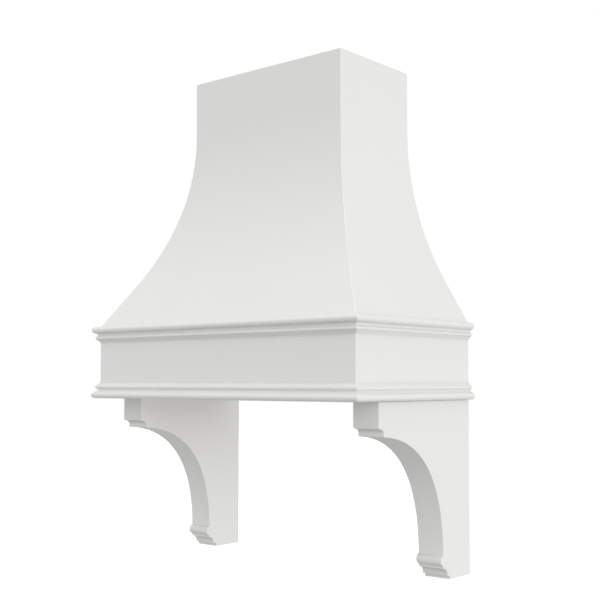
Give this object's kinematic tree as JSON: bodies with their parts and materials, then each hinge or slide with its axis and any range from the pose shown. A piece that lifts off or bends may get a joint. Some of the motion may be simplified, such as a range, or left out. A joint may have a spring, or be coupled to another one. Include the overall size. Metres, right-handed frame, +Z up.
{
  "type": "wooden range hood cover",
  "caption": "Wall-hung wooden range hood cover with a flared painted body, an apron with crown and lower mouldings, and a pair of arched corbels.",
  "frame": {"origin": "middle of the wall cleat's back face, on the wall plane and on the cover's centre line", "axes": "+X to the right as seen from in front, +Y back into the wall, +Z up; the front faces -Y"},
  "size_m": [0.9524, 0.5143, 1.3716],
  "materials": {
    "satin_paint": "smooth satin off-white paint over sanded wood",
    "plywood": "bare sanded birch plywood with its plies showing on the edges",
    "poplar": "bare planed poplar",
    "zinc_steel": "bright zinc plating"
  },
  "bodies": {
    "root": {"front_panel": "satin_paint", "side_panel_left": "satin_paint", "side_panel_right": "satin_paint", "apron_front": "satin_paint", "apron_left": "satin_paint", "apron_right": "satin_paint", "crown_moulding_front": "satin_paint", "crown_moulding_left": "satin_paint", "crown_moulding_right": "satin_paint", "lower_moulding_front": "satin_paint", "lower_moulding_left": "satin_paint", "lower_moulding_right": "satin_paint", "corbel_left": "satin_paint", "corbel_right": "satin_paint", "apron_back": "plywood", "platform": "plywood", "base_rail_left": "plywood", "base_rail_right": "plywood", "base_rail_front": "plywood", "top_rail_left": "plywood", "top_rail_right": "plywood", "top_rail_front": "plywood", "top_rail_back": "plywood", "upper_back_rail": "plywood", "back_rib_left": "plywood", "back_rib_right": "plywood", "side_rib_left": "plywood", "side_rib_right": "plywood", "front_rib_left": "plywood", "front_rib_right": "plywood", "duct_shelf": "plywood", "apron_block_left": "poplar", "apron_block_right": "poplar", "body_block_left": "poplar", "body_block_right": "poplar", "hanging_rail": "poplar", "hood_cleat": "poplar", "wall_cleat": "poplar", "hanger_plate_left": "zinc_steel", "hanger_plate_right": "zinc_steel", "hanger_screw_left_lower": "zinc_steel", "hanger_screw_left_upper": "zinc_steel", "hanger_screw_right_lower": "zinc_steel", "hanger_screw_right_upper": "zinc_steel", "cleat_screw_1": "zinc_steel", "cleat_screw_2": "zinc_steel", "cleat_screw_3": "zinc_steel", "rail_screw_left_lower": "zinc_steel", "rail_screw_left_upper": "zinc_steel", "rail_screw_right_lower": "zinc_steel", "rail_screw_right_upper": "zinc_steel", "corbel_screw_left_back": "zinc_steel", "corbel_screw_left_front": "zinc_steel", "corbel_screw_right_back": "zinc_steel", "corbel_screw_right_front": "zinc_steel"}
  },
  "joints": []
}
